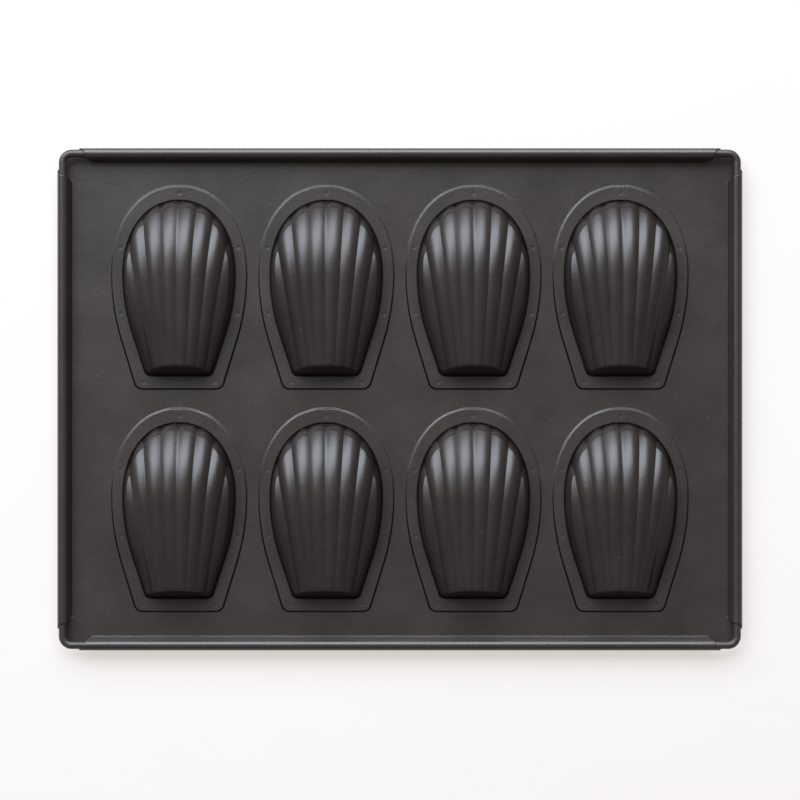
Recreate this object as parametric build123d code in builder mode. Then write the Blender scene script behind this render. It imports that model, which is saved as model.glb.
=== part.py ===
from build123d import *

import os
from dataclasses import dataclass
from math import atan, cos, degrees, hypot, radians, sin, sqrt, tan

# Madeleine pan of coated sheet steel, lying on its baking face. Millimetres and degrees.
# +X runs along the pan's long side, +Y from the hinge ends of the shells to their fan ends,
# and +Z out of the underside. The origin is the middle of the baking face.

# Tray sheet, with the plate's margins from its outer edges to the seats
end_margin = 22.95
fan_margin = 15.9
hinge_margin = 16.4
seat_gap_x = 4.7
seat_gap_y = 7.9
shells_along = 4
shells_across = 2
rim_height = 7.5
tray_t = 0.5
fold_r = 0.3
wall_lean = 13.0

# Rolled edge and its wire
wire_d = 3.4
wire_clearance = 0.1
roll_turn = 300.0
wire_bend_r = 4.0
wire_joint_gap = 0.3
wire_joint_x = -62.0

# Notched corners: where walls and rolls end, along the side from the pan's outer corner
wall_end_at_plate = 14.5
wall_end_at_crown = 12.0
roll_end_below = 8.3
corner_notch = 0.3
corner_tab_lap = 1.0
corner_tab_r = 1.2

# Foot line of a shell's outer face on the baking face's level, from the shell's own centre
shell_half_width = 24.35
shell_fan_y = 37.7
shell_hinge_y = -38.8
shell_widest_y = 5.5
shell_hinge_half_width = 14.1
shell_corner_r = 2.2
flank_knee_share = 0.294
fan_power = 2.15

# Shell form
cup_t = 0.5
shell_depth = 16.0
side_wall_angle = 80.0
fan_wall_angle = 66.0
hinge_wall_angle = 73.0

# How far the roof of the shell falls, as shares of its height: towards the flanks at the widest
# place and at the hinge end, towards the fan's edge, and along the middle to the hinge end
crown_power = 2.4
side_fall = 0.45
side_fall_at_hinge = 0.8
fan_fall = 0.85
hinge_fall = 0.24
hinge_fall_power = 1.3

# Ribs, along straight lines that meet at a fan centre behind the hinge end. A flank cuts the
# outermost rib to this share of its width.
ribs = 8
fan_centre_y = -109.0
outer_rib_share = 0.8
block_margin_share = 0.4
valley_depth_fan_side = 1.7
valley_depth_fan_middle = 1.3
valley_depth_hinge_side = 0.7
valley_depth_hinge_middle = 0.25
scallop = 0.9
station_shares = (
    -0.012, 0.004, 0.022, 0.043, 0.07, 0.11, 0.175, 0.27, 0.37,
    0.48, 0.58, 0.68, 0.77, 0.85, 0.91, 0.965, 1.005, 1.04,
)

# Seat raised round each shell, its hole and its spot welds
hole_gap = 0.55
seat_side = 5.65
seat_fan = 7.0
seat_hinge = 6.4
seat_hinge_side = 5.0
seat_corner_r = 4.0
seat_ramp = 0.65
flange_clearance = 0.25
weld_mark_d = 2.4
weld_mark_depth = 0.12
weld_flange_depth = 0.08
weld_fan_turn = 17.7
weld_flank_turn = 11.0
weld_corner_inset = 0.9

# Modelling values
cut_overrun = 1.0
slope_step = 0.05
outline_steps = 8
halvings = 40

# Rolled edge in section: the wire's centre, and the middle line of the sheet round it
roll_r = wire_d / 2 + wire_clearance + tray_t / 2
bead_r = roll_r + tray_t / 2
wire_z = rim_height - bead_r
wall_top_z = wire_z + roll_r * sin(radians(wall_lean))
wall_top_in = roll_r * cos(radians(wall_lean))
wall_foot_in = wall_top_in + (wall_top_z - tray_t / 2) * tan(radians(wall_lean))
fold_line_r = fold_r + tray_t / 2
fold_reach = fold_line_r * tan(radians(90 - wall_lean) / 2)

# Layout of the shells, and the pan's size
shell_pitch_x = 2 * (shell_half_width + seat_side) + seat_gap_x
shell_pitch_y = shell_fan_y + seat_fan - shell_hinge_y + seat_hinge + seat_gap_y
shell_shift_y = (hinge_margin + seat_hinge - shell_hinge_y - fan_margin - seat_fan - shell_fan_y) / 2
pan_length = shells_along * shell_pitch_x - seat_gap_x + 2 * end_margin
pan_width = shells_across * shell_pitch_y - seat_gap_y + fan_margin + hinge_margin
rib_angle = degrees(atan(shell_half_width / (shell_widest_y - fan_centre_y)))
rib_angle /= ribs / 2 - 1 + outer_rib_share

# Insets from the pan's outer edge
wire_inset = bead_r
plate_inset = bead_r + wall_foot_in + fold_reach
tab_inset = bead_r + wire_d / 2 - corner_tab_lap


@dataclass
class ShellPlan:
    """A shell-shaped outline, symmetrical about its Y axis: a round fan, curved flanks that
    run straight towards the hinge end, and a straight hinge end with rounded corners. The
    curve of a flank rounds the knee between its upright and its straight stretch."""

    half_width: float
    fan_y: float
    hinge_y: float
    hinge_half_width: float
    corner_r: float

    @property
    def taper(self):
        """Angle between the straight stretch of a flank and the Y axis."""
        run = (shell_widest_y - self.hinge_y) * (1 - flank_knee_share)
        return degrees(atan((self.half_width - self.hinge_half_width) / run))

    @property
    def flank_r(self):
        """Radius of the flank between the widest place and its straight stretch."""
        knee = (shell_widest_y - self.hinge_y) * flank_knee_share
        return knee / tan(radians(self.taper / 2))

    def flank_point(self, turn):
        """The point of the curved flank at a turn from the widest place."""
        return (
            self.half_width - self.flank_r * (1 - cos(radians(turn))),
            shell_widest_y - self.flank_r * sin(radians(turn)),
        )

    def fan_point(self, turn):
        """The point of the fan's curve at a turn from the widest place."""
        return (
            self.half_width * cos(radians(turn)) ** (2 / fan_power),
            shell_widest_y + (self.fan_y - shell_widest_y) * sin(radians(turn)) ** (2 / fan_power),
        )

    def grown(self, side, fan, hinge, hinge_side, corner_r):
        """The same shape with a margin added on each stretch, and this corner radius."""
        return ShellPlan(
            self.half_width + side,
            self.fan_y + fan,
            self.hinge_y - hinge,
            self.hinge_half_width + hinge_side,
            corner_r,
        )

    def offset_by(self, margin):
        """The same shape with one margin added all round."""
        return self.grown(margin, margin, margin, margin, self.corner_r + margin)

    def fan_share(self, x, y):
        """How far out (x, y) lies towards the fan's curve, which is at 1, and the direction
        square to the curve there."""
        across = abs(x) / self.half_width
        along = (y - shell_widest_y) / (self.fan_y - shell_widest_y)
        share = (across**fan_power + along**fan_power) ** (1 / fan_power)
        square_x = across ** (fan_power - 1) / self.half_width
        square_y = along ** (fan_power - 1) / (self.fan_y - shell_widest_y)
        length = hypot(square_x, square_y)
        return share, (square_x / length if x > 0 else -square_x / length, square_y / length)

    def share_at(self, x, y):
        """How far out (x, y) lies from the middle line towards the outline, which is at 1."""
        if y > shell_widest_y:
            return self.fan_share(x, y)[0]
        end_x, end_y = self.flank_point(self.taper)
        if y < end_y:
            return abs(x) / (end_x - (end_y - y) * tan(radians(self.taper)))
        across = sqrt(self.flank_r**2 - (shell_widest_y - y) ** 2)
        return abs(x) / (self.half_width - self.flank_r + across)

    def rib_line_point(self, rib):
        """Where a rib line, counted from the middle of the fan, meets the fan's curve."""
        slope = tan(radians(rib * rib_angle))
        low, high = shell_widest_y, self.fan_y
        for _ in range(halvings):
            y = (low + high) / 2
            if self.fan_share((y - fan_centre_y) * slope, y)[0] < 1:
                low = y
            else:
                high = y
        return (low - fan_centre_y) * slope, low

    def flanks(self):
        """Draws both flanks and the hinge end into the line builder in use."""
        hinge_corner = (self.hinge_half_width, self.hinge_y)
        flank_end = self.flank_point(self.taper)
        flank_middle = self.flank_point(self.taper / 2)
        curve = ThreePointArc((self.half_width, shell_widest_y), flank_middle, flank_end)
        straight = Line(flank_end, hinge_corner)
        mirror([curve, straight], about=Plane.YZ)
        Line(hinge_corner, (-self.hinge_half_width, self.hinge_y))

    def face(self):
        """The outline, filled."""
        turns = [90 * step / outline_steps for step in range(1, outline_steps)]
        fan_points = [(self.half_width, shell_widest_y)]
        fan_points += [self.fan_point(turn) for turn in turns]
        fan_points.append((0, self.fan_y))
        with BuildSketch() as outline:
            with BuildLine():
                fan = Spline(*fan_points, tangents=[(0, 1), (-1, 0)])
                mirror(fan, about=Plane.YZ)
                self.flanks()
            make_face()
            fillet(outline.vertices().group_by(Axis.Y)[0], self.corner_r)
        return outline.sketch


foot_plan = ShellPlan(
    shell_half_width, shell_fan_y, shell_hinge_y, shell_hinge_half_width, shell_corner_r
)
hole_plan = foot_plan.offset_by(hole_gap)
seat_plan = foot_plan.grown(seat_side, seat_fan, seat_hinge, seat_hinge_side, seat_corner_r)
seat_top_plan = seat_plan.offset_by(-seat_ramp)

# The seat's ramp keeps the sheet's thickness, so its lower face lies this much further in
ramp_shift = tray_t * tan(atan(cup_t / seat_ramp) / 2)
recess_plan = seat_plan.offset_by(-ramp_shift)
recess_top_plan = seat_top_plan.offset_by(-ramp_shift)
flange_plan = recess_top_plan.offset_by(-flange_clearance)

# Spot welds lie midway between the hole and the ramp
weld_plan = foot_plan.grown(
    (hole_gap + seat_side - seat_ramp) / 2,
    (hole_gap + seat_fan - seat_ramp) / 2,
    (hole_gap + seat_hinge - seat_ramp) / 2,
    (hole_gap + seat_hinge_side - seat_ramp) / 2,
    shell_corner_r,
)


def weld_points():
    """One spot weld at the middle of the fan, two pairs along the flanks and one pair at the
    hinge corners."""
    pairs = (
        weld_plan.fan_point(weld_fan_turn),
        weld_plan.flank_point(weld_flank_turn),
        (weld_plan.hinge_half_width - weld_corner_inset, weld_plan.hinge_y),
    )
    return [(0, weld_plan.fan_y)] + [(side * x, y) for x, y in pairs for side in (1, -1)]


def weld_marks(face_z, depth, outward):
    """Shallow round dents in a flat face at face_z, whose outside is up (1) or down (-1)."""
    ball_r = (weld_mark_d**2 / 4 + depth**2) / (2 * depth)
    with BuildPart() as marks:
        with Locations(*[(x, y, face_z + outward * (ball_r - depth)) for x, y in weld_points()]):
            Sphere(ball_r)
    return marks.part


def crown_height(x, y):
    """Height of the smooth shell, without its valleys, above its flange."""
    share = foot_plan.share_at(x, y)
    if y > shell_widest_y:
        fan_run = (y - shell_widest_y) / (shell_fan_y - shell_widest_y)
        fall = side_fall + (fan_fall - side_fall) * (fan_run / share) ** fan_power
        return shell_depth * (1 - fall * share**crown_power)
    run = (shell_widest_y - y) / (shell_widest_y - shell_hinge_y)
    fall = side_fall + (side_fall_at_hinge - side_fall) * run**2 * (3 - 2 * run)
    top = shell_depth * (1 - hinge_fall * run**hinge_fall_power)
    return top * (1 - fall * share**crown_power)


def valley_depth(rib, y):
    """Depth of the valley on a rib line below the smooth shell."""
    fan_share = min(max((y - shell_hinge_y) / (shell_fan_y - shell_hinge_y), 0), 1)
    middle, side = [
        at_hinge + (at_fan - at_hinge) * fan_share
        for at_hinge, at_fan in (
            (valley_depth_hinge_middle, valley_depth_fan_middle),
            (valley_depth_hinge_side, valley_depth_fan_side),
        )
    ]
    return middle + (side - middle) * abs(rib) / (ribs / 2)


def shell_point(rib, y, inset, valley):
    """The point over a rib line, in a section across the shell at y. Inset is how far it
    lies inside the sheet from the outer face."""
    x = (y - fan_centre_y) * tan(radians(rib * rib_angle))
    slope_x = (crown_height(x + slope_step, y) - crown_height(x - slope_step, y)) / (2 * slope_step)
    slope_y = (crown_height(x, y + slope_step) - crown_height(x, y - slope_step)) / (2 * slope_step)
    drop = inset * sqrt(1 + slope_x**2 + slope_y**2)
    if valley:
        drop += valley_depth(rib, y)
    return x, cup_t + crown_height(x, y) - drop


def ribbed_block(inset):
    """A block whose top is the ribbed shell, lofted through sections of one arc per rib."""
    outer = ribs / 2 + block_margin_share
    lines = [-outer] + [rib - ribs / 2 for rib in range(1, ribs)] + [outer]
    floor_z = -2 * shell_depth
    with BuildPart() as block:
        for share in station_shares:
            y = shell_hinge_y + (shell_fan_y - shell_hinge_y) * share
            ends = [shell_point(line, y, inset, abs(line) < outer) for line in lines]
            with BuildSketch(Plane.XZ.offset(-y)):
                with BuildLine():
                    for rib in range(ribs):
                        middle = shell_point((lines[rib] + lines[rib + 1]) / 2, y, inset, False)
                        ThreePointArc(ends[rib], middle, ends[rib + 1])
                    Polyline(ends[-1], (ends[-1][0], floor_z), (ends[0][0], floor_z), ends[0])
                make_face()
        loft()
    return block.part


def wall_outline(inset, z):
    """The shell's outline at height z: one arc per rib round the fan, and smooth flanks."""
    side, fan, hinge = [
        inset / sin(radians(angle)) + z / tan(radians(angle))
        for angle in (side_wall_angle, fan_wall_angle, hinge_wall_angle)
    ]
    plan = foot_plan.grown(-side, -fan, -hinge, -side, shell_corner_r)
    valley_plan = foot_plan.offset_by(-scallop)

    def moved_in(base, rib):
        """The foot point on a rib line, moved square to the foot line up the leaning wall."""
        x, y = base.rib_line_point(rib)
        square_x, square_y = base.fan_share(x, y)[1]
        reach = side * square_x**2 + fan * square_y**2
        return x - square_x * reach, y - square_y * reach

    valleys = [moved_in(valley_plan, rib - ribs / 2) for rib in range(1, ribs)]
    ends = [(-plan.half_width, shell_widest_y), *valleys, (plan.half_width, shell_widest_y)]
    with BuildSketch() as outline:
        with BuildLine():
            for rib in range(ribs):
                ThreePointArc(ends[rib], moved_in(foot_plan, rib - (ribs - 1) / 2), ends[rib + 1])
            plan.flanks()
        make_face()
        fillet(outline.vertices().group_by(Axis.Y)[0], plan.corner_r)
    return outline.sketch


def shell_body(inset, low_z):
    """A solid shell shape: the ribbed block within the leaning walls."""
    with BuildPart() as body:
        for z in (low_z, shell_depth + cut_overrun):
            with BuildSketch(Plane.XY.offset(z)):
                add(wall_outline(inset, z))
        loft(ruled=True)
        add(ribbed_block(inset), mode=Mode.INTERSECT)
    return body.part


def make_raised_seat():
    """What rises from the plate round one shell, before the recess and the hole are cut."""
    with BuildPart() as seat:
        with BuildSketch(Plane.XY.offset(tray_t / 2)):
            add(seat_plan.face())
        extrude(amount=tray_t / 2)
        with BuildSketch(Plane.XY.offset(tray_t)):
            add(seat_plan.face())
        with BuildSketch(Plane.XY.offset(tray_t + cup_t)):
            add(seat_top_plan.face())
        loft(ruled=True)
    return seat.part


def make_seat_cut():
    """What is cut from the tray for one shell: the flange's recess, the hole, the weld dents."""
    with BuildPart() as cut:
        with BuildSketch(Plane.XY):
            add(recess_plan.face())
        with BuildSketch(Plane.XY.offset(cup_t)):
            add(recess_top_plan.face())
        loft(ruled=True)
        with BuildSketch(Plane.XY.offset(-cut_overrun)):
            add(recess_plan.face())
        extrude(amount=cut_overrun)
        with BuildSketch(Plane.XY):
            add(hole_plan.face())
        extrude(amount=cup_t + tray_t + cut_overrun)
        add(weld_marks(cup_t + tray_t, weld_mark_depth, 1))
    return cut.part


def edge_pieces(run, reach):
    """One side's wall with the near half of its roll, and the rest of the roll. The side runs
    along X, and its outer edge lies at +Y. Both ends are cut on a slant."""
    wire_y = reach - wire_inset
    flat_y = reach - plate_inset
    crown_turn = 90 - wall_lean
    with BuildPart() as wall:
        with BuildSketch(Plane.YZ):
            with BuildLine():
                fold = CenterArc((flat_y, tray_t / 2 + fold_line_r), fold_line_r, -90, crown_turn)
                over_wire = CenterArc((wire_y, wire_z), roll_r, 90 + crown_turn, -crown_turn)
                Line(fold @ 1, over_wire @ 0)
            trace(line_width=tray_t)
        extrude(amount=run / 2, both=True)
        with BuildSketch(Plane.XZ):
            with BuildLine():
                low = run / 2 - wall_end_at_plate
                high = run / 2 - wall_end_at_crown
                Polyline((-low, 0), (low, 0), (high, rim_height), (-high, rim_height), close=True)
            make_face()
        extrude(amount=-reach, mode=Mode.INTERSECT)
    with BuildPart() as roll:
        with BuildSketch(Plane.YZ):
            with BuildLine():
                CenterArc((wire_y, wire_z), roll_r, 90, crown_turn - roll_turn)
            trace(line_width=tray_t)
        extrude(amount=run / 2, both=True)
        with BuildSketch(Plane.XZ):
            with BuildLine():
                low = run / 2 - roll_end_below
                high = run / 2 - wall_end_at_crown
                low_z = wire_z - bead_r
                Polyline((-low, low_z), (low, low_z), (high, rim_height), (-high, rim_height), close=True)
            make_face()
        extrude(amount=-reach, mode=Mode.INTERSECT)
    return wall.part, roll.part


os.makedirs("parts", exist_ok=True)

# Tray sheet: plate with corner tabs, four walls with rolls, and a seat per shell
tab_length = pan_length - 2 * tab_inset
tab_width = pan_width - 2 * tab_inset
tab_depth = plate_inset - tab_inset
wall_end = wall_end_at_plate - corner_notch
seat_places = GridLocations(shell_pitch_x, shell_pitch_y, shells_along, shells_across)
shell_places = [Location((0, shell_shift_y)) * place for place in seat_places.locations]

with BuildPart() as tray_sheet:
    with BuildSketch(Plane.XY) as plate:
        Rectangle(tab_length, tab_width)
        fillet(plate.vertices(), corner_tab_r)
        with GridLocations(0, tab_width - tab_depth, 1, 2):
            Rectangle(pan_length - 2 * wall_end, tab_depth, mode=Mode.SUBTRACT)
        with GridLocations(tab_length - tab_depth, 0, 2, 1):
            Rectangle(tab_depth, pan_width - 2 * wall_end, mode=Mode.SUBTRACT)
    extrude(amount=tray_t)
    for piece in edge_pieces(pan_length, pan_width / 2):
        with PolarLocations(0, 2):
            add(piece)
    for piece in edge_pieces(pan_width, pan_length / 2):
        with PolarLocations(0, 2, start_angle=90):
            add(piece)
    raised_seat = make_raised_seat()
    seat_cut = make_seat_cut()
    with Locations(*shell_places):
        add(raised_seat)
        add(seat_cut, mode=Mode.SUBTRACT)

tray_sheet.part.label = "tray_sheet"
export_step(tray_sheet.part, "parts/tray_sheet.step")

# Edge wire: a loop inside the rolls, with a narrow butt joint on one long side
wire_half_length = pan_length / 2 - wire_inset
wire_half_width = pan_width / 2 - wire_inset

with BuildPart() as edge_wire:
    with BuildLine(Plane.XY.offset(wire_z)) as wire_path:
        FilletPolyline(
            (wire_joint_x + wire_joint_gap / 2, -wire_half_width),
            (wire_half_length, -wire_half_width),
            (wire_half_length, wire_half_width),
            (-wire_half_length, wire_half_width),
            (-wire_half_length, -wire_half_width),
            (wire_joint_x - wire_joint_gap / 2, -wire_half_width),
            radius=wire_bend_r,
        )
    with BuildSketch(Plane(wire_path.line @ 0, z_dir=wire_path.line % 0)):
        Circle(wire_d / 2)
    sweep()

edge_wire.part.label = "edge_wire"
export_step(edge_wire.part, "parts/edge_wire.step")

# Shell cup: a pressed sheet with a flange on the baking face's level and a hollow ribbed shell
with BuildPart() as shell_cup:
    add(shell_body(0, 0))
    with BuildSketch(Plane.XY):
        add(flange_plan.face())
    extrude(amount=cup_t)
    add(shell_body(cup_t, -cut_overrun), mode=Mode.SUBTRACT)
    add(weld_marks(0, weld_flange_depth, -1), mode=Mode.SUBTRACT)

for number, place in enumerate(shell_places, start=1):
    with BuildPart() as placed_cup:
        with Locations(place):
            add(shell_cup.part)
    placed_cup.part.label = f"shell_cup_{number}"
    export_step(placed_cup.part, f"parts/shell_cup_{number}.step")
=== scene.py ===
"""A madeleine pan of coated sheet steel, lying underside up on a plaster table.

Lengths are in metres, angles in degrees. The pan lies in its own frame: +X along its long side,
+Y towards the fan ends of the shells, +Z out of the underside, and the table at height zero.
"""

import logging
import math
from collections.abc import Mapping
from dataclasses import dataclass, field
from enum import Enum
from typing import Any

import bpy
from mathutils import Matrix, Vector


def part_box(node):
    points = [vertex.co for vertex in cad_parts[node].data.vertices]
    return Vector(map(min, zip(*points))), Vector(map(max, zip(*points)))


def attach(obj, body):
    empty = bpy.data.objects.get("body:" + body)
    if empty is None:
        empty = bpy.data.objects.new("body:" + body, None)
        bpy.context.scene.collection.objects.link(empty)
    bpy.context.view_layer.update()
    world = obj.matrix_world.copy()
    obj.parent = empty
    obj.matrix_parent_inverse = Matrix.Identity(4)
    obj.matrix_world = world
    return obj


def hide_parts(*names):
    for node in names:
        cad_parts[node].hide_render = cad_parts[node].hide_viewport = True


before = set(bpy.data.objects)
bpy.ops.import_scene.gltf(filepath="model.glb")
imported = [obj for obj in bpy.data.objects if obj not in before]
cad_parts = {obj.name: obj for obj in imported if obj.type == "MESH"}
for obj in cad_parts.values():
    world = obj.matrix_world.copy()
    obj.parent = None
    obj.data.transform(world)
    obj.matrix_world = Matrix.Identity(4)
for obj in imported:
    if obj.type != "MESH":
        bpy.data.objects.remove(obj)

LOG = logging.getLogger("madeleine_pan")
MM = 0.001
BODY = "root"
TRAY_NODE = "tray_sheet"
WIRE_NODE = "edge_wire"
CUP_NODES = "shell_cup"
SHADER = "Principled BSDF"
CUBIC_DIVISOR = 6
SMALL_SHARE = 1e-6
SMALL_SUM = 1e-9
HALVINGS = 30

Pair = tuple[float, float]
Triple = tuple[float, float, float]
Node = bpy.types.Node
Socket = bpy.types.NodeSocket
Feeds = Mapping[str | int, Any]


def soft_min(first: float, second: float, reach: float) -> float:
    """Gives the lower of two values, with the corner between them rounded.

    Args:
        first: One value.
        second: The other value.
        reach: How far apart the values are where the rounding ends.

    Returns:
        The rounded minimum.
    """
    overlap = max(reach - abs(first - second), 0.0) / reach
    return min(first, second) - reach * overlap**3 / CUBIC_DIVISOR


def soft_max(first: float, second: float, reach: float) -> float:
    """Gives the higher of two values, with the corner between them rounded.

    Args:
        first: One value.
        second: The other value.
        reach: How far apart the values are where the rounding ends.

    Returns:
        The rounded maximum.
    """
    return -soft_min(-first, -second, reach)


def clamp(share: float) -> float:
    """Holds a share between 0 and 1.

    Args:
        share: Any value.

    Returns:
        The nearest value from 0 to 1.
    """
    return min(max(share, 0.0), 1.0)


def ease(share: float) -> float:
    """Turns a share into a smooth step.

    Args:
        share: The share, which is held between 0 and 1.

    Returns:
        The step's height, flat at both ends.
    """
    held = clamp(share)
    return held * held * (3 - 2 * held)


def deselect_all() -> None:
    """Leaves nothing selected and nothing in edit mode."""
    if bpy.context.object and bpy.context.object.mode != "OBJECT":
        bpy.ops.object.mode_set(mode="OBJECT")
    bpy.ops.object.select_all(action="DESELECT")


@dataclass(frozen=True)
class ShellOutline:
    """A shell-shaped outline round one cup, symmetrical about the cup's own Y axis.

    The fan is a superellipse quarter each side. Each flank is a curve that runs straight
    towards the hinge end.
    """

    half_width: float
    fan_y: float
    hinge_y: float
    hinge_half_width: float
    widest_y: float = 5.5 * MM
    knee_share: float = 0.294
    power: float = 2.15

    def taper(self) -> float:
        """Measures how far the straight stretch of a flank leans to the Y axis.

        Returns:
            The angle in radians.
        """
        run = (self.widest_y - self.hinge_y) * (1 - self.knee_share)
        return math.atan((self.half_width - self.hinge_half_width) / run)

    def flank_radius(self) -> float:
        """Measures the flank's curve.

        Returns:
            The curve's radius.
        """
        return (self.widest_y - self.hinge_y) * self.knee_share / math.tan(self.taper() / 2)

    def half_width_at(self, y: float) -> float:
        """Gives the distance from the middle line to the outline at a height y.

        Args:
            y: The place along the middle line.

        Returns:
            The half width there, or 0 past the fan's end.
        """
        if y >= self.widest_y:
            rise = (y - self.widest_y) / (self.fan_y - self.widest_y)
            return self.half_width * max(1 - rise**self.power, 0.0) ** (1 / self.power)
        taper = self.taper()
        radius = self.flank_radius()
        fall = self.widest_y - y
        bend_end = radius * math.sin(taper)
        if fall < bend_end:
            return self.half_width - radius + math.sqrt(radius**2 - fall**2)
        bend_width = self.half_width - radius * (1 - math.cos(taper))
        return bend_width - (fall - bend_end) * math.tan(taper)

    def inside(self, x: float, y: float) -> tuple[float, float]:
        """Measures how far a point lies inside the fan and flanks.

        Args:
            x: The distance from the middle line.
            y: The place along the middle line.

        Returns:
            The distance to the outline, and the share of its direction that points along Y.
        """
        across = abs(x)
        if y >= self.widest_y:
            wide = max(across / self.half_width, SMALL_SHARE)
            high = (y - self.widest_y) / (self.fan_y - self.widest_y)
            share = (wide**self.power + high**self.power) ** (1 / self.power)
            slope_x = (wide / share) ** (self.power - 1) / self.half_width
            slope_y = (high / share) ** (self.power - 1) / (self.fan_y - self.widest_y)
            steep = math.hypot(slope_x, slope_y)
            return (1 - share) / steep, (slope_y / steep) ** 2
        turn = math.asin(min((self.widest_y - y) / self.flank_radius(), math.sin(self.taper())))
        return (self.half_width_at(y) - across) * math.cos(turn), 0.0

    def grown(self, side: float, fan: float, hinge: float, hinge_side: float) -> "ShellOutline":
        """Draws the same shape larger.

        Args:
            side: The margin where the shell is widest.
            fan: The margin at the fan's end.
            hinge: The margin at the hinge end.
            hinge_side: The margin beside the hinge end's corners.

        Returns:
            The larger outline.
        """
        return ShellOutline(
            self.half_width + side,
            self.fan_y + fan,
            self.hinge_y - hinge,
            self.hinge_half_width + hinge_side,
            self.widest_y,
            self.knee_share,
            self.power,
        )


@dataclass
class ShellForm:
    """The pressed form of one ribbed shell, as a height over the flange."""

    foot: ShellOutline = field(
        default_factory=lambda: ShellOutline(
            half_width=24.35 * MM, fan_y=37.7 * MM, hinge_y=-38.8 * MM, hinge_half_width=14.1 * MM
        )
    )
    depth: float = 16.0 * MM
    crown_power: float = 2.4
    side_fall: float = 0.45
    side_fall_at_hinge: float = 0.8
    fan_fall: float = 0.85
    hinge_fall: float = 0.24
    hinge_fall_power: float = 1.3
    side_angle: float = 80.0
    fan_angle: float = 66.0
    hinge_angle: float = 73.0
    ribs: int = 8
    outer_rib_share: float = 0.8
    outer_rib_reach: float = 1.4
    fan_centre_y: float = -109.0 * MM
    valley_fan_side: float = 1.7 * MM
    valley_fan_middle: float = 1.3 * MM
    valley_hinge_side: float = 0.7 * MM
    valley_hinge_middle: float = 0.25 * MM
    scallop: float = 0.9 * MM
    scallop_fade: float = 10.0 * MM
    valley_round_middle: float = 0.9 * MM
    valley_round_side: float = 0.3 * MM
    crest_round: float = 4.0 * MM
    shoulder_round: float = 1.6 * MM
    corner_round: float = 2.4 * MM
    foot_round: float = 0.25 * MM

    def inner_ribs(self) -> int:
        """Counts the ribs on one side of the middle line, without the outermost.

        Returns:
            The number of ribs, and so also the place of the outermost valley.
        """
        return self.ribs // 2 - 1

    def rib_turn(self) -> float:
        """Measures the turn from one rib line to the next at the fan centre.

        Returns:
            The angle in radians.
        """
        side = math.atan(self.foot.half_width / (self.foot.widest_y - self.fan_centre_y))
        return side / (self.inner_ribs() + self.outer_rib_share)

    def rib_at(self, x: float, y: float) -> float:
        """Finds a point's place among the ribs.

        Args:
            x: The distance from the middle line.
            y: The place along the middle line.

        Returns:
            The place, counted in ribs from the middle line.
        """
        return math.atan2(x, y - self.fan_centre_y) / self.rib_turn()

    def rib_line_x(self, rib: float, y: float) -> float:
        """Finds a rib line at a place along the middle line.

        Args:
            rib: The rib line's place.
            y: The place along the middle line.

        Returns:
            The line's distance from the middle line.
        """
        return (y - self.fan_centre_y) * math.tan(rib * self.rib_turn())

    def crown(self, x: float, y: float) -> float:
        """Gives the height of the smooth shell, without its valleys.

        Args:
            x: The distance from the middle line.
            y: The place along the middle line.

        Returns:
            The height over the flange.
        """
        foot = self.foot
        if y >= foot.widest_y:
            wide = (abs(x) / foot.half_width) ** foot.power
            high = ((y - foot.widest_y) / (foot.fan_y - foot.widest_y)) ** foot.power
            fall = self.side_fall
            fall += (self.fan_fall - self.side_fall) * high / max(wide + high, SMALL_SUM)
            return self.depth * (1 - fall * (wide + high) ** (self.crown_power / foot.power))
        share = abs(x) / foot.half_width_at(y)
        run = (foot.widest_y - y) / (foot.widest_y - foot.hinge_y)
        fall = self.side_fall + (self.side_fall_at_hinge - self.side_fall) * ease(run)
        top = self.depth * (1 - self.hinge_fall * run**self.hinge_fall_power)
        return top * (1 - fall * share**self.crown_power)

    def valley(self, x: float, y: float) -> float:
        """Gives how far the ribs fall below the smooth shell at a point.

        Args:
            x: The distance from the middle line.
            y: The place along the middle line.

        Returns:
            The fall, which is rounded at the bottom of each valley.
        """
        rib = abs(self.rib_at(x, y))
        inner = self.inner_ribs()
        run = clamp((y - self.foot.hinge_y) / (self.foot.fan_y - self.foot.hinge_y))
        middle = self.valley_fan_middle - self.valley_hinge_middle
        middle = self.valley_hinge_middle + middle * run
        side = self.valley_hinge_side + (self.valley_fan_side - self.valley_hinge_side) * run
        deep = middle + (side - middle) * min(rib / (self.ribs / 2), 1.0)
        bend = self.valley_round_side - self.valley_round_middle
        bend = self.valley_round_middle + bend * min(rib, 1.0)
        fall = math.inf
        for own in range(min(math.floor(rib), inner) - 1, min(math.floor(rib) + 1, inner) + 1):
            half = 0.5 if own < inner else self.outer_rib_reach / 2
            own_fall = deep * ((rib - own - half) / half) ** 2
            fall = own_fall if fall == math.inf else soft_min(fall, own_fall, bend)
        return fall

    def height(self, x: float, y: float) -> float:
        """Gives the height of the pressed sheet's outer face over the flange.

        Args:
            x: The distance from the middle line.
            y: The place along the middle line.

        Returns:
            The height, 0 on the flange.
        """
        distance, along = self.foot.inside(x, y)
        rib = abs(self.rib_at(x, y))
        place = rib - math.floor(min(rib, self.inner_ribs()))
        nose = (2 * place - 1) ** 2
        if rib > self.inner_ribs():
            nose = max(1 - 2 * place / self.outer_rib_share, 0.0) ** 2
        fade = ease((y - self.foot.widest_y) / self.scallop_fade)
        distance -= self.scallop * nose * fade
        lean = (1 - along) / math.tan(math.radians(self.side_angle))
        lean += along / math.tan(math.radians(self.fan_angle))
        wall = distance / lean
        hinge_wall = (y - self.foot.hinge_y) * math.tan(math.radians(self.hinge_angle))
        wall = soft_min(wall, hinge_wall, self.corner_round / lean)
        top = soft_min(self.crown(x, y) - self.valley(x, y), hinge_wall, self.crest_round)
        return soft_max(soft_min(top, wall, self.shoulder_round), 0.0, self.foot_round)


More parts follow.
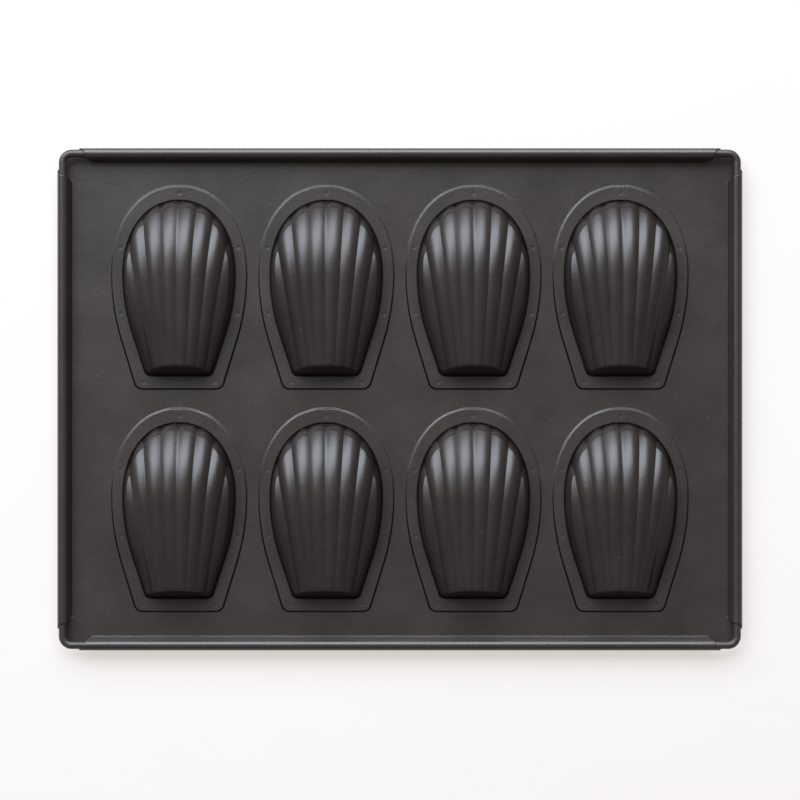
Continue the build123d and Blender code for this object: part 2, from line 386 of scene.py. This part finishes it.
@dataclass(frozen=True)
class NodePen:
    """Adds nodes to one tree and feeds them with values or with other nodes' sockets."""

    tree: bpy.types.NodeTree

    def feed(self, node: Node, inputs: Feeds) -> None:
        """Sets or joins a node's inputs.

        Args:
            node: The node.
            inputs: A value or another node's output for each input, by name or number.
        """
        for key, value in inputs.items():
            if isinstance(value, Socket):
                self.tree.links.new(value, node.inputs[key])
            else:
                node.inputs[key].default_value = value

    def add(self, kind: str, inputs: Feeds) -> Node:
        """Adds a node and feeds it.

        Args:
            kind: The node's type name.
            inputs: A value or another node's output for each input, by name or number.

        Returns:
            The node.
        """
        node = self.tree.nodes.new(kind)
        self.feed(node, inputs)
        return node

    def math(self, operation: str, *values: Any) -> Socket:
        """Adds a node that works out one number from up to three others.

        Args:
            operation: The name of what it works out.
            values: The values or sockets, in the node's order.

        Returns:
            The result.
        """
        node = self.tree.nodes.new("ShaderNodeMath")
        node.operation = operation
        self.feed(node, dict(enumerate(values)))
        return node.outputs["Value"]

    def scaled(self, vector: Socket, scale: Socket) -> Socket:
        """Scales a colour or vector.

        Args:
            vector: The colour or vector.
            scale: The factor.

        Returns:
            The result.
        """
        node = self.tree.nodes.new("ShaderNodeVectorMath")
        node.operation = "SCALE"
        self.feed(node, {0: vector, "Scale": scale})
        return node.outputs["Vector"]

    def ramp(self, value: Socket, places: Pair, levels: Pair) -> Socket:
        """Maps a value from one range to another, and holds it there.

        Args:
            value: The value.
            places: Where the ramp starts and ends.
            levels: The results at the start and at the end.

        Returns:
            The result.
        """
        limits = {"From Min": places[0], "From Max": places[1]}
        limits |= {"To Min": levels[0], "To Max": levels[1]}
        return self.add("ShaderNodeMapRange", {"Value": value, **limits}).outputs["Result"]

    def object_place(self) -> Socket:
        """Adds the object's own coordinates.

        Returns:
            The coordinates.
        """
        return self.add("ShaderNodeTexCoord", {}).outputs["Object"]

    def height(self) -> Socket:
        """Adds the height in the object's own coordinates.

        Returns:
            The height.
        """
        return self.add("ShaderNodeSeparateXYZ", {"Vector": self.object_place()}).outputs["Z"]

    def normal(self) -> Node:
        """Adds the face's true normal, taken apart.

        Returns:
            The node whose outputs X, Y and Z are the normal's parts.
        """
        facing = self.add("ShaderNodeNewGeometry", {})
        return self.add("ShaderNodeSeparateXYZ", {"Vector": facing.outputs["True Normal"]})


class Surface(Enum):
    """The surfaces of the pan that wear their own version of the coating."""

    SHEET = "sheet_coating"
    CUP = "cup_coating"
    WIRE = "wire_coating"


@dataclass(frozen=True)
class CoatingFlaws:
    """The shared effect of a sprayed coating: mottled colour, pale specks and pebbles."""

    name: str = "coating_flaws"
    cloud_scale: float = 38.0
    cloud_detail: float = 5.0
    cloud_roughness: float = 0.62
    cloud_range: Pair = (0.3, 0.7)
    dust_scale: float = 420.0
    dot_range: Pair = (0.06, 0.16)
    rare_range: Pair = (0.86, 1.0)
    dust_colour: Triple = (0.16, 0.155, 0.15)
    roughness_spread: float = 0.06
    pebble_detail: float = 2.0
    sockets: tuple[tuple[str, str, str], ...] = (
        ("Place", "INPUT", "NodeSocketVector"),
        ("Colour", "INPUT", "NodeSocketColor"),
        ("Roughness", "INPUT", "NodeSocketFloat"),
        ("Mottle", "INPUT", "NodeSocketFloat"),
        ("Specks", "INPUT", "NodeSocketFloat"),
        ("Pebble Size", "INPUT", "NodeSocketFloat"),
        ("Colour", "OUTPUT", "NodeSocketColor"),
        ("Roughness", "OUTPUT", "NodeSocketFloat"),
        ("Height", "OUTPUT", "NodeSocketFloat"),
    )

    def build(self) -> bpy.types.NodeTree:
        """Builds the effect as a node group.

        Returns:
            The node group, with its colour, roughness and height.
        """
        group = bpy.data.node_groups.new(self.name, "ShaderNodeTree")
        for name, way, kind in self.sockets:
            group.interface.new_socket(name=name, in_out=way, socket_type=kind)
        pen = NodePen(group)
        entry = pen.add("NodeGroupInput", {})
        leave = pen.add("NodeGroupOutput", {})
        tint = self.clouds(pen, entry)
        pen.feed(leave, {
            "Colour": self.dusted(pen, entry, self.mottled(pen, entry, tint)),
            "Roughness": pen.math(
                "MULTIPLY_ADD", tint, self.roughness_spread, entry.outputs["Roughness"]
            ),
            "Height": self.pebbles(pen, entry),
        })
        return group

    def clouds(self, pen: NodePen, entry: Node) -> Socket:
        """Adds the soft clouds that mottle the coating.

        Args:
            pen: The group's pen.
            entry: The group's inputs.

        Returns:
            The clouds, from 0 to 1.
        """
        cloud = pen.add("ShaderNodeTexNoise", {
            "Vector": entry.outputs["Place"],
            "Scale": self.cloud_scale,
            "Detail": self.cloud_detail,
            "Roughness": self.cloud_roughness,
        })
        return pen.ramp(cloud.outputs["Fac"], self.cloud_range, (0.0, 1.0))

    def mottled(self, pen: NodePen, entry: Node, tint: Socket) -> Socket:
        """Lightens and darkens the colour by the clouds.

        Args:
            pen: The group's pen.
            entry: The group's inputs.
            tint: The clouds.

        Returns:
            The colour, unchanged where the clouds are at their middle.
        """
        mottle = entry.outputs["Mottle"]
        lift = pen.math("MULTIPLY_ADD", mottle, -0.5, 1.0)
        spread = pen.math("MULTIPLY_ADD", tint, mottle, lift)
        return pen.scaled(entry.outputs["Colour"], spread)

    def dusted(self, pen: NodePen, entry: Node, colour: Socket) -> Socket:
        """Lays rare pale specks on the colour.

        Args:
            pen: The group's pen.
            entry: The group's inputs.
            colour: The colour under the specks.

        Returns:
            The colour with its specks.
        """
        dust = pen.add(
            "ShaderNodeTexVoronoi", {"Vector": entry.outputs["Place"], "Scale": self.dust_scale}
        )
        dot = pen.ramp(dust.outputs["Distance"], self.dot_range, (1.0, 0.0))
        pick = pen.add("ShaderNodeSeparateColor", {"Color": dust.outputs["Color"]})
        rare = pen.ramp(pick.outputs["Red"], self.rare_range, (0.0, 1.0))
        speck = pen.math("MULTIPLY", dot, rare)
        dusty = pen.math("MULTIPLY", speck, entry.outputs["Specks"])
        paled = pen.tree.nodes.new("ShaderNodeMix")
        paled.data_type = "RGBA"
        pen.feed(paled, {"Factor": dusty, "A": colour, "B": (*self.dust_colour, 1.0)})
        return paled.outputs["Result"]

    def pebbles(self, pen: NodePen, entry: Node) -> Socket:
        """Adds the fine pebbles of the sprayed skin.

        Args:
            pen: The group's pen.
            entry: The group's inputs.

        Returns:
            The pebbles' height, from 0 to 1.
        """
        pebbles = pen.add("ShaderNodeTexNoise", {
            "Vector": entry.outputs["Place"],
            "Scale": pen.math("DIVIDE", 1.0, entry.outputs["Pebble Size"]),
            "Detail": self.pebble_detail,
        })
        return pebbles.outputs["Fac"]


@dataclass(frozen=True)
class Coating:
    """A baked-on satin coating and how much of each flaw it shows."""

    surface: Surface
    colour: Triple
    roughness: float
    shine: float
    mottle: float
    specks: float
    pebble_size: float
    pebble_depth: float
    edge_radius: float
    edge_samples: int = 6

    def build(self, group: bpy.types.NodeTree) -> bpy.types.Material:
        """Builds the coating's material.

        Args:
            group: The shared coating effect.

        Returns:
            The material.
        """
        material = bpy.data.materials.new(self.surface.value)
        material.use_nodes = True
        pen = NodePen(material.node_tree)
        flaws = pen.tree.nodes.new("ShaderNodeGroup")
        flaws.node_tree = group
        pen.feed(flaws, {
            "Place": pen.object_place(),
            "Colour": (*self.colour, 1.0),
            "Roughness": self.roughness,
            "Mottle": self.mottle,
            "Specks": self.specks,
            "Pebble Size": self.pebble_size,
        })
        soften = pen.add("ShaderNodeBevel", {"Radius": self.edge_radius})
        soften.samples = self.edge_samples
        bump = pen.add("ShaderNodeBump", {
            "Strength": 1.0,
            "Distance": self.pebble_depth,
            "Height": flaws.outputs["Height"],
            "Normal": soften.outputs["Normal"],
        })
        pen.feed(pen.tree.nodes[SHADER], {
            "Base Color": flaws.outputs["Colour"],
            "Roughness": flaws.outputs["Roughness"],
            "Specular IOR Level": self.shine,
            "Normal": bump.outputs["Normal"],
        })
        return material


COATINGS = (
    Coating(
        surface=Surface.SHEET,
        colour=(0.0305, 0.0210, 0.0172),
        roughness=0.345,
        shine=0.92,
        mottle=0.40,
        specks=0.55,
        pebble_size=1.3 * MM,
        pebble_depth=0.050 * MM,
        edge_radius=0.5 * MM,
    ),
    Coating(
        surface=Surface.CUP,
        colour=(0.0215, 0.0139, 0.0108),
        roughness=0.355,
        shine=0.75,
        mottle=0.40,
        specks=0.65,
        pebble_size=1.2 * MM,
        pebble_depth=0.045 * MM,
        edge_radius=0.0,
    ),
    Coating(
        surface=Surface.WIRE,
        colour=(0.0315, 0.0217, 0.0178),
        roughness=0.40,
        shine=0.85,
        mottle=0.45,
        specks=1.00,
        pebble_size=0.9 * MM,
        pebble_depth=0.080 * MM,
        edge_radius=0.0,
    ),
)


@dataclass(frozen=True)
class PaintedShades:
    """Painted shade on the coatings: in the gap round each cup and on the steps round its seat.
    """

    # Heights, levels and turns of the painted shade in the gaps and on the steps.
    gap_heights: Pair = (0.5 * MM, 0.9 * MM)
    gap_shade: float = 0.2
    step_height: float = 1.1 * MM
    step_turns: Pair = (-0.1, 0.15)
    step_shade: float = 0.15
    flat_normal: float = 0.9

    def lay(self, material: bpy.types.Material, shade: Socket) -> None:
        """Paints shade into a coating: scales its colour and shine by a mask.

        Args:
            material: The coating.
            shade: The mask's socket.
        """
        pen = NodePen(material.node_tree)
        shader = pen.tree.nodes[SHADER]
        colour, shine = shader.inputs["Base Color"], shader.inputs["Specular IOR Level"]
        pen.feed(shader, {
            "Base Color": pen.scaled(colour.links[0].from_socket, shade),
            "Specular IOR Level": pen.math("MULTIPLY", shine.default_value, shade),
        })

    def paint_gap_shade(self, material: bpy.types.Material) -> None:
        """Paints shade into the narrow gap round a cup: darkens the colour and shine of its
        lowest places that face up.

        Args:
            material: The cups' coating.
        """
        pen = NodePen(material.node_tree)
        # Painted shade: low up-facing places in the gap are darker, and faces turned down stay
        # plain.
        low = pen.ramp(pen.height(), self.gap_heights, (self.gap_shade, 1.0))
        down = pen.math("LESS_THAN", pen.normal().outputs["Z"], 0.0)
        self.lay(material, pen.math("MAXIMUM", low, down))

    def paint_step_shade(self, material: bpy.types.Material) -> None:
        """Paints shade on the low steep steps of the sheet that face away from the window on the
        fan ends' side.

        Args:
            material: The sheet's coating.
        """
        pen = NodePen(material.node_tree)
        normal = pen.normal()
        # Painted shade: steps turned away from the window are darker, while flat faces and
        # anything higher stay plain.
        shade = pen.ramp(normal.outputs["Y"], self.step_turns, (self.step_shade, 1.0))
        level = pen.math("ABSOLUTE", normal.outputs["Z"])
        for value, limit in ((level, self.flat_normal), (pen.height(), self.step_height)):
            shade = pen.math("MAXIMUM", shade, pen.math("GREATER_THAN", value, limit))
        self.lay(material, shade)


def dress(piece: bpy.types.Object, material: bpy.types.Material) -> None:
    """Gives a piece one material in its first slot.

    Args:
        piece: The piece.
        material: The material.
    """
    if piece.data.materials:
        piece.data.materials[0] = material
    else:
        piece.data.materials.append(material)


@dataclass
class ShellCups:
    """The eight pressed shell cups: one is modelled, and the others are copies of it."""

    form: ShellForm = field(default_factory=ShellForm)
    sheet: float = 0.5 * MM
    flange_side: float = 4.58 * MM
    flange_fan: float = 5.93 * MM
    flange_hinge: float = 5.33 * MM
    flange_hinge_side: float = 3.93 * MM
    flange_corner: float = 2.93 * MM
    rib_steps: int = 10
    side_steps: int = 24
    run_steps: int = 96
    flange_steps: int = 5
    valley_bias: float = 0.07
    end_bias: float = 0.11
    foot_corner_rib: float = 0.6
    edge_corner_rib: float = 1.0
    edge_side_rib: float = 1.3
    smooth_angle: float = 40.0

    def centre(self, node: str) -> Vector:
        """Finds the middle of a cup's own outline on the table, from its solid.

        Args:
            node: The name of the cup's CAD node.

        Returns:
            The place of the cup's own origin.
        """
        low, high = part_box(node)
        edge = self.flange_outline()
        return Vector(((low.x + high.x) / 2, high.y - edge.fan_y, low.z))

    def flange_outline(self) -> ShellOutline:
        """Draws the outer edge of the flange.

        Returns:
            The outline, with sharp corners at the hinge end.
        """
        return self.form.foot.grown(
            self.flange_side, self.flange_fan, self.flange_hinge, self.flange_hinge_side
        )

    def across_places(self) -> list[float]:
        """Lists the grid's lines across the shell.

        Up to the outermost valley the lines follow the ribs. The last two ribs' worth of
        places lead to the foot line and then to the flange's edge.

        Returns:
            The places, in ribs from the middle line.
        """
        inner = self.form.inner_ribs()
        places = []
        for rib in range(inner):
            for step in range(self.rib_steps):
                share = step / self.rib_steps
                places.append(rib + share - math.sin(2 * math.pi * share) * self.valley_bias)
        places += [inner + step / self.side_steps for step in range(self.side_steps)]
        places += [inner + 1 + step / self.flange_steps for step in range(self.flange_steps + 1)]
        return [-place for place in reversed(places[1:])] + places

    def along_places(self) -> list[float]:
        """Lists the grid's lines along the shell.

        Returns:
            The places: 0 at the hinge foot, 1 at the fan foot, -1 and 2 at the flange's edges.
        """
        before = [step / self.flange_steps - 1 for step in range(self.flange_steps)]
        shell = []
        for step in range(self.run_steps + 1):
            share = step / self.run_steps
            shell.append(share - math.sin(2 * math.pi * share) * self.end_bias)
        after = [1 + (step + 1) / self.flange_steps for step in range(self.flange_steps)]
        return before + shell + after

    def on_fan(self, outline: ShellOutline, rib: float) -> Vector:
        """Finds where a rib line meets an outline's fan.

        Args:
            outline: The outline.
            rib: The rib line's place.

        Returns:
            The crossing's x and y.
        """
        low, high = outline.widest_y, outline.fan_y
        for _ in range(HALVINGS):
            middle = (low + high) / 2
            if abs(self.form.rib_line_x(rib, middle)) < outline.half_width_at(middle):
                low = middle
            else:
                high = middle
        return Vector((self.form.rib_line_x(rib, low), low))

    def on_flange_corner(self, place: Vector) -> Vector:
        """Draws a place of the flange in towards its rounded hinge corner.

        Args:
            place: A place on a flange with sharp corners.

        Returns:
            The place on the flange with round corners.
        """
        edge = self.flange_outline()
        taper = edge.taper()
        reach = self.flange_corner * math.tan((math.pi / 2 - taper) / 2)
        middle = Vector((edge.hinge_half_width - reach, edge.hinge_y + self.flange_corner))
        spoke = place - middle
        turn = math.atan2(spoke.x, -spoke.y)
        widest = math.pi / 2 - taper
        if 0 < turn < widest:
            return middle + spoke * math.cos(min(turn, widest - turn))
        return place

    def point(self, across: float, along: float) -> Vector:
        """Places one point of the grid over the table.

        Up to the outermost valley the grid's columns are rib lines. The next columns lead over
        to the foot line, and the last ones cross the flange. The rows do the same at both ends.

        Args:
            across: The place across, in ribs.
            along: The place along: -1 and 2 are the flange's edges, 0 and 1 the foot line.

        Returns:
            The point's x and y from the cup's own origin.
        """
        foot, edge = self.form.foot, self.flange_outline()
        inner = self.form.inner_ribs()
        reach = abs(across)
        line = min(reach, inner)
        side = clamp(reach - inner)
        beyond = max(reach - inner - 1, 0.0)
        run = clamp(along)
        end = self.on_fan(foot, line + self.foot_corner_rib * side)
        line_end = self.on_fan(foot, line)
        corner = self.on_fan(foot, inner + self.foot_corner_rib)
        line_y = foot.hinge_y + (line_end.y - foot.hinge_y) * run
        flank_y = foot.hinge_y + (corner.y - foot.hinge_y) * run
        on_line = Vector((self.form.rib_line_x(line, line_y), line_y))
        on_flank = Vector((foot.half_width_at(flank_y), flank_y))
        place = on_line.lerp(on_flank, side) + (end - line_end.lerp(corner, side)) * run
        edge_side = self.on_fan(edge, inner + self.edge_side_rib)
        edge_y = foot.hinge_y + (edge_side.y - foot.hinge_y) * run
        place = place.lerp(Vector((edge.half_width_at(edge_y), edge_y)), beyond)
        if along > 1:
            rim_rib = line + self.foot_corner_rib * side
            rim_rib += (self.edge_corner_rib - self.foot_corner_rib) * beyond
            edge_corner = self.on_fan(edge, inner + self.edge_corner_rib)
            past = along - 1
            side_rib = self.edge_side_rib + (self.edge_corner_rib - self.edge_side_rib) * past
            bulge = self.on_fan(edge, inner + side_rib) - edge_side.lerp(edge_corner, past)
            place = place.lerp(self.on_fan(edge, rim_rib), past) + bulge * beyond
        elif along < 0:
            wide = edge.hinge_half_width - self.flange_corner
            rim_x = place.x
            if reach >= inner + 1:
                rim_x = wide + (edge.hinge_half_width - wide) * beyond
            place = self.on_flange_corner(place.lerp(Vector((rim_x, edge.hinge_y)), -along))
        return Vector((math.copysign(place.x, across), place.y))

    def build_skin(self) -> bpy.types.Object:
        """Models one cup at its own origin: a grid laid on the shell's form, made a sheet.

        Returns:
            The cup.
        """
        across, along = self.across_places(), self.along_places()
        columns, rows = len(across), len(along)
        deselect_all()
        bpy.ops.mesh.primitive_grid_add(
            x_subdivisions=columns - 1, y_subdivisions=rows - 1, size=2.0
        )
        skin = bpy.context.object
        skin.name = "shell_cup"
        for vertex in skin.data.vertices:
            column = round((vertex.co.x + 1) / 2 * (columns - 1))
            row = round((vertex.co.y + 1) / 2 * (rows - 1))
            x, y = self.point(across[column], along[row])
            vertex.co = (x, y, self.sheet + self.form.height(x, y))
        skin.data.update()
        bpy.ops.object.mode_set(mode="EDIT")
        bpy.ops.mesh.select_all(action="SELECT")
        bpy.ops.mesh.normals_make_consistent(inside=False)
        bpy.ops.object.mode_set(mode="OBJECT")
        wall = skin.modifiers.new("sheet", "SOLIDIFY")
        wall.thickness = self.sheet
        wall.offset = -1.0
        wall.use_even_offset = True
        bpy.ops.object.modifier_apply(modifier=wall.name)
        # Beside the foot line the even offset reaches a little below the table.
        for vertex in skin.data.vertices:
            vertex.co.z = max(vertex.co.z, 0.0)
        bpy.ops.object.shade_smooth_by_angle(angle=math.radians(self.smooth_angle))
        return skin

    def build(self, material: bpy.types.Material) -> list[bpy.types.Object]:
        """Builds all the cups in their places.

        Args:
            material: The cups' coating.

        Returns:
            The cups.
        """
        nodes = sorted(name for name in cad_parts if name.startswith(CUP_NODES))
        model = self.build_skin()
        dress(model, material)
        cups = []
        for node in nodes:
            cup = model.copy()
            cup.data = model.data.copy()
            bpy.context.collection.objects.link(cup)
            cup.name = f"pressed_{node}"
            shift = self.centre(node)
            for vertex in cup.data.vertices:
                vertex.co += shift
            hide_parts(node)
            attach(cup, BODY)
            cups.append(cup)
            LOG.info("%s at %.1f, %.1f mm", cup.name, shift.x / MM, shift.y / MM)
        bpy.data.objects.remove(model)
        return cups


@dataclass
class Studio:
    """The table, the window's light, the room's light and the camera."""

    camera_height: float = 1.18
    picture_width: float = 0.35044
    bead_level: float = 5.2 * MM
    sensor: float = 36.0
    centre: Pair = (0.06 * MM, -0.3 * MM)
    table_size: float = 6.0
    table_glow: float = 0.61
    glow_colour: Triple = (1.0, 0.935, 0.885)
    plaster_colour: Triple = (0.92, 0.91, 0.905)
    plaster_roughness: float = 0.85
    trowel_scale: float = 45.0
    trowel_detail: float = 6.0
    trowel_strength: float = 0.35
    trowel_depth: float = 0.6 * MM
    window_place: Triple = (-0.42, 1.35, 1.2)
    window_size: Pair = (2.6, 1.5)
    window_power: float = 72.0
    window_colour: Triple = (0.89, 0.97, 1.09)
    room_colour: Triple = (1.0, 0.955, 0.92)
    room_level: float = 0.2
    backdrop_level: float = 0.93

    def build_table(self) -> None:
        """Lays the plaster table, which glows a little towards the camera and in reflections."""
        deselect_all()
        bpy.ops.mesh.primitive_plane_add(size=self.table_size)
        table = bpy.context.object
        table.name = "plaster_table"
        material = bpy.data.materials.new("plaster")
        material.use_nodes = True
        pen = NodePen(material.node_tree)
        shader = pen.tree.nodes[SHADER]
        trowel = pen.add("ShaderNodeTexNoise", {
            "Vector": pen.object_place(),
            "Scale": self.trowel_scale,
            "Detail": self.trowel_detail,
        })
        bump = pen.add("ShaderNodeBump", {
            "Strength": self.trowel_strength,
            "Distance": self.trowel_depth,
            "Height": trowel.outputs["Fac"],
        })
        pen.feed(shader, {
            "Base Color": (*self.plaster_colour, 1.0),
            "Roughness": self.plaster_roughness,
            "Normal": bump.outputs["Normal"],
        })
        glow = pen.add("ShaderNodeEmission", {"Color": (*self.glow_colour, 1.0)})
        sight = pen.add("ShaderNodeLightPath", {})
        seen = pen.math("MAXIMUM", sight.outputs["Is Camera Ray"], sight.outputs["Is Glossy Ray"])
        blend = pen.add("ShaderNodeMixShader", {
            "Fac": pen.math("MULTIPLY", seen, self.table_glow),
            1: shader.outputs["BSDF"],
            2: glow.outputs["Emission"],
        })
        pen.feed(pen.tree.nodes["Material Output"], {"Surface": blend.outputs["Shader"]})
        dress(table, material)

    def build_window(self) -> None:
        """Hangs the window's soft light on the fan ends' side, aimed at the middle of the pan."""
        light = bpy.data.lights.new("window", "AREA")
        light.shape = "RECTANGLE"
        light.size, light.size_y = self.window_size
        light.energy = self.window_power
        light.color = self.window_colour
        lamp = bpy.data.objects.new("window", light)
        lamp.location = self.window_place
        lamp.rotation_euler = (-Vector(self.window_place)).to_track_quat("-Z", "Y").to_euler()
        bpy.context.collection.objects.link(lamp)

    def build_room(self) -> None:
        """Sets the room's light, and a white backdrop that only the camera sees."""
        world = bpy.data.worlds.new("room")
        world.use_nodes = True
        pen = NodePen(world.node_tree)
        room = pen.tree.nodes["Background"]
        pen.feed(room, {"Color": (*self.room_colour, 1.0), "Strength": self.room_level})
        backdrop = pen.add("ShaderNodeBackground", {"Strength": self.backdrop_level})
        sight = pen.add("ShaderNodeLightPath", {})
        blend = pen.add("ShaderNodeMixShader", {
            "Fac": sight.outputs["Is Camera Ray"],
            1: room.outputs["Background"],
            2: backdrop.outputs["Background"],
        })
        pen.feed(pen.tree.nodes["World Output"], {"Surface": blend.outputs["Shader"]})
        bpy.context.scene.world = world

    def build_camera(self) -> None:
        """Sets the camera straight above the pan."""
        data = bpy.data.cameras.new("camera")
        data.sensor_width = self.sensor
        data.lens = self.sensor * (self.camera_height - self.bead_level) / self.picture_width
        camera = bpy.data.objects.new("camera", data)
        camera.location = (*self.centre, self.camera_height)
        bpy.context.collection.objects.link(camera)
        bpy.context.scene.camera = camera
        bpy.context.scene.view_settings.view_transform = "Standard"

    def build(self) -> None:
        """Builds the whole studio."""
        self.build_table()
        self.build_window()
        self.build_room()
        self.build_camera()


def main() -> None:
    """Builds the pan's look and the studio round it."""
    logging.basicConfig(level=logging.INFO, format="%(name)s: %(message)s")
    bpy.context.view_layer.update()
    group = CoatingFlaws().build()
    materials = {coating.surface: coating.build(group) for coating in COATINGS}
    shades = PaintedShades()
    # Painted shade in the gaps round the cups and on the seats' steps.
    shades.paint_gap_shade(materials[Surface.CUP])
    shades.paint_step_shade(materials[Surface.SHEET])
    dress(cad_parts[TRAY_NODE], materials[Surface.SHEET])
    dress(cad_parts[WIRE_NODE], materials[Surface.WIRE])
    ShellCups().build(materials[Surface.CUP])
    Studio().build()


if __name__ == "__main__":
    main()
